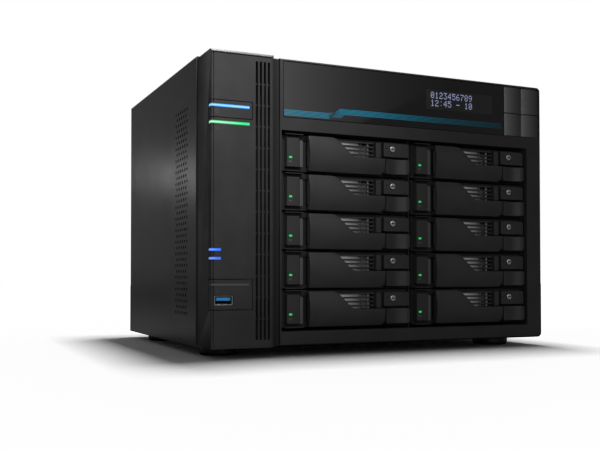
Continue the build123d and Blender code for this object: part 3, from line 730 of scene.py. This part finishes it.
def make_window():
    """Gloss plate with a printed line band, a small character screen, and the boards behind."""
    face = BEZEL_FACE + 0.12
    rim = rectangle(WINDOW_X[0] + 0.25, WINDOW_X[1] - 0.25, WINDOW_Z[0] + 0.25, WINDOW_Z[1] - 0.25, 0.5)
    window = plate("display_plate", [rim], face, BEZEL_FACE + 2.2, 0.25, 2)
    dress(window, "window", "root", replaces=("display_window",))
    screen = plate("screen", [rectangle(*SCREEN_X, *SCREEN_Z, 0.4)], face - 0.03, face + 0.3, 0.02, 1)
    dress(screen, "screen", "root")
    dress(smooth(prisms("line_band", *line_band(face - 0.02, face + 0.2))), "teal", "root")
    module = boxes(
        "display_module", (176, 247.5, face + 2.2, 15, 184.8, 207.3), (150, 288, 17, 18.6, 173.8, 211.8),
        (178, 183, 15, 17, 186.8, 204.8), (240, 245, 15, 17, 186.8, 204.8))
    dress(soften(module, 0.2, 2), "board", "root")


def line_band(front, back):
    """Five fine lines from the left, a step of nine slanted strokes, and five higher lines."""
    left_run = (WINDOW_X[0] + 0.6, 95.0)
    right_run = (103.5, 252.6)
    stripes = []
    for line in range(5):
        drop = line * 0.9
        for run, low, high in ((left_run, 177.5, 177.9), (right_run, 181.4, 181.9)):
            stripes.append((rectangle(*run, low - drop, high - drop), front, back))
    for stroke in range(9):
        x = 90.2 + stroke * 1.7
        foot, top = (173.7, 178.6) if stroke < 3 else (175.0, 181.9)
        rise = top - foot
        outline = [(x, foot), (x + 0.55, foot), (x + 0.55 + rise * 1.3, top), (x + rise * 1.3, top)]
        stripes.append((outline, front, back))
    return stripes


FONT = {
    "0": "01110 10001 10011 10101 11001 10001 01110", "1": "00100 01100 00100 00100 00100 00100 01110",
    "2": "01110 10001 00001 00110 01000 10000 11111", "3": "11111 00010 00100 00010 00001 10001 01110",
    "4": "00010 00110 01010 10010 11111 00010 00010", "5": "11111 10000 11110 00001 00001 10001 01110",
    "6": "00110 01000 10000 11110 10001 10001 01110", "7": "11111 00001 00010 00100 01000 01000 01000",
    "8": "01110 10001 10001 01110 10001 10001 01110", "9": "01110 10001 10001 01111 00001 00010 01100",
    ":": "00000 00100 00000 00000 00000 00100 00000", "-": "00000 00000 00000 11111 00000 00000 00000",
    " ": "00000 00000 00000 00000 00000 00000 00000",
}


def make_screen_text():
    """Two rows of dot characters: a plain count and a clock."""
    dot = 0.42
    pitch = 0.62
    advance = 4.0
    middle = sum(SCREEN_Z) / 2 - 1
    dots = []
    for row, text in enumerate(("0123456789", "12:45 - 10")):
        for place, letter in enumerate(text):
            for line, bits in enumerate(FONT[letter].split()):
                for column, bit in enumerate(bits):
                    if bit == "1":
                        x = 184.4 + place * advance + column * pitch
                        z = 6.4 - row * 6.2 - line * pitch * 1.15
                        dots.append((x, x + dot + 0.12, -0.05, 0.05, z, z + dot + 0.16))
    dress(boxes("screen_dots", *dots), "glyph", "root", (0, BEZEL_FACE + 0.06, middle))


KEYS = {
    "up": (*LEFT_KEYS, *UPPER_KEYS), "down": (*LEFT_KEYS, *LOWER_KEYS),
    "back": (*RIGHT_KEYS, *UPPER_KEYS), "enter": (*RIGHT_KEYS, *LOWER_KEYS),
}


def make_key(name, x0, x1, z0, z1):
    """A cap with a shallow crown across it, its stem, and a printed tick."""
    radius = (0.4, 0.4, 2.2, 0.4) if name == "back" else 0.4
    front, back = KEY_Y
    rise = 0.5
    x, z = (x0 + x1) / 2, (z0 + z1) / 2
    half = (x1 - x0) / 2

    def crown(across, y, _):
        return -rise * (1 - ((across - x) / half) ** 2) * (back - y) / (back - front)

    cap = plate(f"menu_key_{name}", [rectangle(x0, x1, z0, z1, radius)], front, back, 0.35, 3)
    bent(sliced(cap, 0, x0, x1, 1.2), crown)
    stem = soften(boxes("stem", (x - 2, x + 2, back, back + 5, z - 2, z + 2)), 0.3, 2)
    body = f"key_{name}"
    dress(merged(f"menu_key_{name}", cap, stem), "key", body, replaces=(body,))
    peak = front - rise
    tick = plate(f"key_tick_{name}", [circle(x, z + 0.8, 0.35, 16)], peak - 0.04, peak + 0.10, 0.03, 1)
    dress(tick, "print", body)


def make_keys():
    for name, limits in KEYS.items():
        make_key(name, *limits)


# ---------------------------------------------------------------- trays


def lever_outline():
    """A bar along the tray's lower half that sweeps up to full height at its hinged left end."""
    sweep = bezier((58.8, 13.3), (51.6, 13.6), (46.6, 26.6), (39.2, 26.8))
    return [*arc(20.5, 1.4, 0.8, 180, 270, 4), *arc(78.9, 5.2, 4.6, 270, 360, 8),
            *arc(82.9, 12.7, 0.6, 0, 90, 4), *sweep, *arc(20.5, 26.0, 0.8, 90, 180, 4)]


def make_lever():
    """The lever's crowned front, its knuckle and web, and the pin it swings on."""
    lever = plate("latch_lever", [lever_outline()], LEVER_EDGE, LEVER_BACK, 0.45, 3)
    sliced(lever, 2, 0.6, 26.8, 1.1)
    span = LEVER_BACK - LEVER_EDGE

    def crown(_, y, z):
        bow = 1 - ((z - LEVER_MIDDLE) / LEVER_HALF) ** 2
        return -(LEVER_EDGE - LEVER_PEAK) * bow * (LEVER_BACK - y) / span

    bent(lever, crown)
    knuckle = prisms("knuckle", (circle(*HINGE, 2.1, 28), 4.4, 22.8, "Z"))
    web = boxes("web", (HINGE[0] - 2.1, HINGE[0] + 2.1, 7.6, HINGE[1], 4.4, 22.8))
    pin = prisms("pin", (circle(*HINGE, 1.0, 20), 1.0, 26.4, "Z"))
    return merged("latch_lever", lever, soften(knuckle, 0.25, 2), web, soften(pin, 0.2, 2))


def make_release():
    """The release button: a hollow for the finger, deepest left of its middle, and its stem."""
    left, right = 84.7, 105.4
    scoop_length = 17.8
    back = 10.0
    outline = rectangle(left, right, 1.6, 13.2, (0.6, 2.4, 1.2, 0.6))
    button = plate("release", [outline], BUTTON_FACE, back, 0.5, 3)

    def scoop(x, y, _):
        t = min(1.0, max(0.0, (x - left) / scoop_length))
        depth = 2.1 * max(0.0, math.sin(math.pi * t)) ** 1.2
        return depth * max(0.0, (back - y) / (back - BUTTON_FACE))

    bent(sliced(button, 0, left, right, 0.9), scoop)
    stem = soften(boxes("stem", (93.05, 97.05, back, 15.6, 5.4, 9.4)), 0.3, 2)
    return merged("release", button, stem)


def make_skin():
    """The thin moulded sheet behind the lever, with its cut-outs."""
    holes = [
        rectangle(17, 27, 3.8, 23.4, 0.5), rectangle(*GRILLE_U, *GRILLE_W, 0.5),
        rectangle(83.7, 105.6, 0.9, 14.0, 0.5), circle(*LOCK_UW, 2.35, 24),
    ]
    rim = rectangle(0.4, TRAY_SIZE[0] - 0.4, 0.4, TRAY_SIZE[1] - 0.4, 1.0)
    return plate("skin", [rim, *holes], SKIN_Y, PLATE_Y[0], 0.15, 1)


def make_tray_front():
    """Everything moulded with the tray's front: lamp block in its rim, grille, pillar and lock plate."""
    rim = boxes("rim", (1.5, 16.0, 7.6, SKIN_Y, 26.85, 27.5), (1.5, 16.0, 7.6, SKIN_Y, 0.1, 0.75))
    soften(rim, 0.2, 2)
    lamp = plate("lamp", [rectangle(2.3, 12.3, 3.1, 24.4, 0.5)], 6.95, SKIN_Y, 0.4, 3)
    grille = []
    grille_top = 25.4
    bar_height = 1.15
    pitch = (grille_top - GRILLE_W[0]) / 4
    for bar in range(4):
        w = GRILLE_W[0] + (bar + 1) * pitch - bar_height
        grille.append((40.0, GRILLE_U[1], 9.2, 10.2, w, w + bar_height))
    grille.append((40.0, GRILLE_U[0], 9.2, SKIN_Y, 13.3, grille_top))
    bars = soften(boxes("bars", *grille), 0.18, 2)
    pillar = plate("pillar", [rectangle(76.8, 81.2, 13.7, 25.4, 0.4)], 7.4, SKIN_Y, 0.35, 2)
    lock_plate = plate(
        "lock_plate",
        [rectangle(83.5, 105.9, 14.9, 25.6, (0.5, 0.5, 1.6, 0.5)), circle(*LOCK_UW, 2.5, 32),
         circle(86.2, 21.3, 0.45, 12)],
        7.0, SKIN_Y, 0.35, 3)
    ears = []
    for w0, w1 in ((1.0, 3.6), (23.6, 26.4)):
        tip = arc(*HINGE, 1.9, 180, 360, 12)
        ears.append(([*tip, (HINGE[0] + 1.9, SKIN_Y), (HINGE[0] - 1.9, SKIN_Y)], w0, w1, "Z"))
    ears = soften(prisms("ears", *ears), 0.2, 2)
    return merged("tray_front", rim, lamp, bars, pillar, lock_plate, ears)


def make_carrier():
    """Front plate, side rails and the two straps under the drive."""
    rim = rectangle(0, TRAY_SIZE[0], 0, TRAY_SIZE[1], 1.2)
    holes = [
        rectangle(*GRILLE_U, *GRILLE_W, 0.6),
        circle(*LOCK_UW, 2.35, 24),
        rectangle(92.55, 97.55, 4.9, 9.9, 0.3),
    ]
    front = plate("front", [rim, *holes], *PLATE_Y, 0.2, 2)
    rails = []
    for outer, inner, lip in ((0.4, 2.2, 2.35), (106.0, 104.2, 104.05)):
        x0, x1 = sorted((outer, inner))
        rails.append((x0, x1, 15, 166, 2, 15))
        x0, x1 = sorted((inner - 0.5 if inner < 50 else inner + 0.5, lip))
        rails.append((x0, x1, 15, 166, 0.05, 2.2))
    for y in (30, 140):
        rails.append((2.2, 104.2, y, y + 12, 0.0, 0.6))
    frame_parts = soften(boxes("rails", *rails), 0.15, 2)
    return merged("carrier", front, frame_parts)


def make_drive():
    """Hard drive: cast body with a notch for its connector, stepped lid, spindle boss, screw heads."""
    u0, u1 = DRIVE_U
    y0, y1 = DRIVE_Y
    w0, w1 = DRIVE_W

    def body_outline(inset, radius):
        return rectangle(u0 + inset, u1 - inset, y0 + inset, y1 - inset, radius)

    body = prisms("cast", (body_outline(0, 3.0), w0, w1 - 2.0, "Z"))
    notch = boxes("notch", (13.4, 50.6, y1 - 4.6, y1 + 1, 0, 8.6))
    subtract(body, notch)
    lid = prisms("lid", (body_outline(1.2, 4.0), w1 - 2.0, w1 - 0.9, "Z"))
    rise = prisms("rise", (rectangle(u0 + 7, u1 - 7, y0 + 12, y1 - 40, 12), w1 - 0.9, w1, "Z"))
    boss = prisms("boss", (circle(53.2, 78, 13, 40), w1 - 0.6, w1 + 0.25, "Z"))
    heads = prisms("heads", *[
        (circle(x, y, 2.6, 16), w1 - 1.0, w1 - 0.3, "Z")
        for x in (u0 + 5, u1 - 5) for y in (y0 + 6, (y0 + y1) / 2, y1 - 6)])
    return merged("drive", soften(body, 0.6, 2), soften(lid, 0.4, 2), soften(rise, 0.35, 2),
                  soften(boss, 0.3, 2), soften(heads, 0.2, 2))


def make_shield():
    """What shows behind the grille: a metal sheet with a post and a thin rod before it. The sheet's colour is
    a painted highlight, pale at its left and dark to the right.
    """
    sheet = boxes("shield", (42.2, 63.5, 10.7, 11.2, 13.4, 24.9))
    post = (circle(71.6, 11.6, 1.0, 24), 13.4, 24.9, "Z")
    rod = (circle(65.5, 11.6, 0.35, 16), 13.4, 24.9, "Z")
    posts = prisms("posts", post, rod)
    return merged("shield", soften(sheet, 0.1, 1), smooth(posts))


def make_lock():
    """Slotted key barrel with the cam that it turns behind the plate, and a near-black plate set in its slot
    as painted shade.
    """
    head = [(0, 6.5), (1.7, 6.55), (2.2, 6.7), (2.4, 7.0), (2.4, 8.0)]
    shank = [(2.25, 8.2), (2.25, 15.4), (0, 15.4)]
    barrel = lathe("lock", head + shank)
    subtract(barrel, boxes("slot", (-1.8, 1.8, 5, 7.7, -0.42, 0.42)))
    # a near-black plate in the cut slot: painted shade
    slot = boxes("slot", (-1.75, 1.75, 6.75, 7.6, -0.38, 0.38))
    cam = boxes("cam", (-2, 4.5, 15.4, 16.9, -1.5, 1.5))
    return merged("lock", smooth(barrel), soften(cam, 0.2, 2)), smooth(slot)


def make_tray_parts():
    """Builds one tray's pieces and repeats them at all ten trays."""
    front = make_tray_front()
    skin_sheet = make_skin()
    carrier = make_carrier()
    drive = make_drive()
    label = soften(boxes("label", (14, 92, 92, 140, DRIVE_W[1] - 0.9, DRIVE_W[1] + 0.12)), 0.08, 1)
    shield = make_shield()
    edge = prisms(
        "edge", ([(12.6, 3.2), (15.3, 3.2), (15.3, 22.0), (14.6, 22.8), (12.6, 22.8)], 7.3, SKIN_Y))
    soften(edge, 0.25, 2)
    lamp_on = plate("lamp_on", [rectangle(-1.2, 1.2, -0.75, 0.75, 0.4)], 6.8, 7.2, 0.12, 2)
    lamp_off = plate("lamp_off", [rectangle(3.8, 6.2, 6.15, 7.65, 0.4)], 6.84, 7.2, 0.12, 2)
    lock, slot = make_lock()
    lever = make_lever()
    release = make_release()
    # a near-black ring round the lock barrel: painted shade in the gap round the lock
    lock_shade_ring = plate("lock_shade_ring", [circle(0, 0, 2.95, 32), circle(0, 0, 2.46, 32)], 6.75, 7.2, 0.12, 2)
    # name, first piece, skin, kind of body, place from the tray's corner, whether it stands for its node
    kinds = (
        ("tray_front", front, "tray", "drive_tray", (0, 0), True),
        # the near-black sheet behind each tray's parts is painted shade in the recesses between them
        ("tray_skin", skin_sheet, "dark", "drive_tray", (0, 0), False),
        ("lamp_edge", edge, "edge", "drive_tray", (0, 0), False),
        ("tray_carrier", carrier, "dark", "drive_tray", (0, 0), False),
        ("hard_drive", drive, "alloy", "drive_tray", (0, 0), False),
        ("drive_label", label, "label", "drive_tray", (0, 0), False),
        ("front_shield", shield, "painted_sheen", "drive_tray", (0, 0), False),
        ("drive_lamp", lamp_on, "green_dot", "drive_tray", (5.2, 10.1), False),
        ("idle_lamp", lamp_off, "grey_lens", "drive_tray", (0, 0), False),
        ("lock_shade_ring", lock_shade_ring, "dark", "drive_tray", LOCK_UW, False),
        ("lock_barrel", lock, "chrome", "tray_lock", LOCK_UW, True),
        ("lock_slot_shade", slot, "dark", "tray_lock", LOCK_UW, False),
        ("latch_lever", lever, "lever", "tray_lever", (0, 0), True),
        ("release_cap", release, "lever", "release_button", (0, 0), True),
    )
    for kind in kinds:
        place_at_trays(*kind)


def place_at_trays(name, first, skin, body_kind, offset, stands_for):
    """Dresses the first tray's piece and repeats it at the other nine."""
    for number in TRAYS:
        low = (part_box(f"drive_tray_{number}")[0] - cad_low) / MM
        corner = (low.x + offset[0], 0, low.z + offset[1])
        body = f"{body_kind}_{number}"
        if number == 1:
            first.name = f"{name}_1"
            piece = dress(first, skin, body, corner)
        else:
            piece = repeat(first, f"{name}_{number}", body, corner)
        if stands_for:
            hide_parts(body)


# ---------------------------------------------------------------- feet and carried-over nodes


def make_feet():
    """Four turned rubber feet, each with a sunk middle."""
    low, high = ((c - cad_low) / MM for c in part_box("feet"))
    radius = 14.2
    profile = [(0, 1.1), (9.6, 1.1), (9.9, 0.9), (10.2, 0.15), (10.7, 0), (12.9, 0), (13.4, 0.25),
               (14.05, 1.4), (radius, 2.2), (radius, 5.0), (13.9, 5.6), (13.4, 6.3), (0, 6.3)]
    number = 0
    for x in (low.x + radius, high.x - radius):
        for y in (low.y + radius, high.y - radius):
            number += 1
            foot = lathe(f"foot_{number}", profile, 64)
            foot.data.transform(Matrix.Rotation(math.pi / 2, 4, "X"))
            dress(foot, "rubber", "root", (x, y, 0), replaces=("feet",))


CARRIED = {"outer_cover": "cover", "chassis": "zinc", "drive_cage": "dark", "drive_backplane": "board",
           "system_boards": "board", "power_supply": "zinc", "fan_frames": "dark", "fasteners": "steel",
           "fan_rotor_1": "dark", "fan_rotor_2": "dark"}


def dress_carried():
    """Gives the nodes that keep their CAD mesh their materials."""
    for name, skin in CARRIED.items():
        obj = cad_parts[name]
        obj.data.materials.clear()
        obj.data.materials.append(SKIN[skin])


# ---------------------------------------------------------------- stage


def turned(place, aim):
    return (Vector(aim) - Vector(place)).to_track_quat("-Z", "Y").to_euler()


def lamp(name, place, aim, width, height, power, seen=True):
    """A rectangular soft light. One that isn't seen stays out of the camera's view."""
    light = bpy.data.lights.new(name, "AREA")
    light.shape = "RECTANGLE"
    light.size = width
    light.size_y = height
    light.energy = power
    holder = link(name, light)
    holder.location = place
    holder.rotation_euler = turned(place, aim)
    holder.visible_camera = seen
    return holder


def spot(name, place, aim, cone, radius, power):
    light = bpy.data.lights.new(name, "SPOT")
    light.spot_size = math.radians(cone)
    light.spot_blend = 1.0
    light.shadow_soft_size = radius
    light.energy = power
    holder = link(name, light)
    holder.location = place
    holder.rotation_euler = turned(place, aim)
    return holder


def make_card():
    """A pale card in front of the case, brighter to its left, that only mirrors in the gloss window.
    Its outline is the outline wanted in the window, carried out along the mirrored lines of sight."""
    eye = at(*EYE)
    face = at(0, BEZEL_FACE, 0).y
    mirrored_eye = Vector((eye.x, 2 * face - eye.y, eye.z))
    distance = -1.6
    wanted = ((20.0, 150.0), (88.0, 150.0), (120.9, 172.3), (204.6, 210.6), (225.0, 220.0), (20.0, 235.0))
    mesh = bmesh.new()
    corners = []
    for x, z in wanted:
        through = at(x, BEZEL_FACE, z) - mirrored_eye
        reach = (distance - mirrored_eye.y) / through.y
        corners.append(mesh.verts.new(mirrored_eye + through * reach))
    mesh.faces.new(corners)
    left, right = corners[0].co.x, corners[4].co.x
    data = bpy.data.meshes.new("card")
    mesh.to_mesh(data)
    mesh.free()
    card = link("card", data)
    glow = bpy.data.materials.new("card_glow")
    glow.use_nodes = True
    tree = glow.node_tree
    tree.nodes.clear()
    rest = calculate(tree, "SUBTRACT", 1.0, along(tree, "X", left / MM, right / MM))
    level = calculate(tree, "MULTIPLY_ADD", calculate(tree, "POWER", rest, 3.0), 1.5, 0.13)
    light = node(tree, "ShaderNodeEmission", {"Color": (1, 1, 1, 1), "Strength": level})
    end = node(tree, "ShaderNodeOutputMaterial", {"Surface": light.outputs[0]})
    end.is_active_output = True
    data.materials.append(glow)
    card.visible_camera = False
    card.visible_shadow = False
    card.visible_diffuse = False


def make_stage():
    """White surroundings that light the case only a little, the floor, and four lights."""
    world = bpy.data.worlds.new("studio")
    bpy.context.scene.world = world
    world.use_nodes = True
    tree = world.node_tree
    background = tree.nodes["Background"]
    background.inputs["Color"].default_value = (1, 1, 1, 1)
    seen = node(tree, "ShaderNodeLightPath").outputs["Is Camera Ray"]
    tree.links.new(ramp(tree, seen, 0.0, 1.0, 0.12, 1.0), background.inputs["Strength"])
    mesh = bmesh.new()
    bmesh.ops.create_grid(mesh, x_segments=1, y_segments=1, size=4.0)
    floor = finished("floor", mesh)
    floor.location.z = cad_low.z
    floor.data.materials.append(new_material("floor_paper", (0.10, 0.10, 0.10), 0.9))
    floor.is_shadow_catcher = True
    lamp("overhead", (0.10, 0.11, 1.25), (0.10, 0.11, 0.0), 0.25, 0.42, 18.0)
    key = spot("key", (-0.13, -0.75, 0.75), (-0.185, -0.115, 0.33), 38, 0.012, 34.0)
    fill = lamp("fill", (-0.2, -1.4, 0.5), (0.0, -0.1, 0.1), 1.2, 0.8, 3.5)
    strip = lamp("side_strip", (-0.98, 1.4, 0.34), (-0.15, 0.0, 0.15), 0.8, 0.07, 0.30, False)
    # only the overhead light falls on the floor, so that the case throws one soft shadow
    all_but_floor = bpy.data.collections.new("all_but_floor")
    all_but_floor.objects.link(floor)
    all_but_floor.collection_objects[0].light_linking.link_state = "EXCLUDE"
    for light in (key, fill, strip):
        light.light_linking.receiver_collection = all_but_floor
    strip.data.use_shadow = False
    bpy.context.scene.view_settings.view_transform = "Standard"


def make_camera():
    data = bpy.data.cameras.new("camera")
    data.sensor_width = 36
    data.lens = 48.912
    data.shift_x = 0.0385
    data.shift_y = 0.058
    data.clip_start = 0.02
    camera = link("camera", data)
    camera.location = at(*EYE)
    yaw, pitch = math.radians(YAW), math.radians(PITCH)
    look = Vector((math.sin(yaw) * math.cos(pitch), math.cos(yaw) * math.cos(pitch), math.sin(pitch)))
    camera.rotation_euler = look.to_track_quat("-Z", "Y").to_euler()
    bpy.context.scene.camera = camera


make_camera()
make_stage()
make_card()
dress_carried()
make_column()
make_panel_button("power_cap", "power_button", POWER_Z)
make_panel_button("copy_cap", "copy_button", COPY_Z, (usb_gap(),))
make_column_details()
make_usb()
make_bezel()
make_window()
make_screen_text()
make_keys()
make_tray_parts()
make_feet()
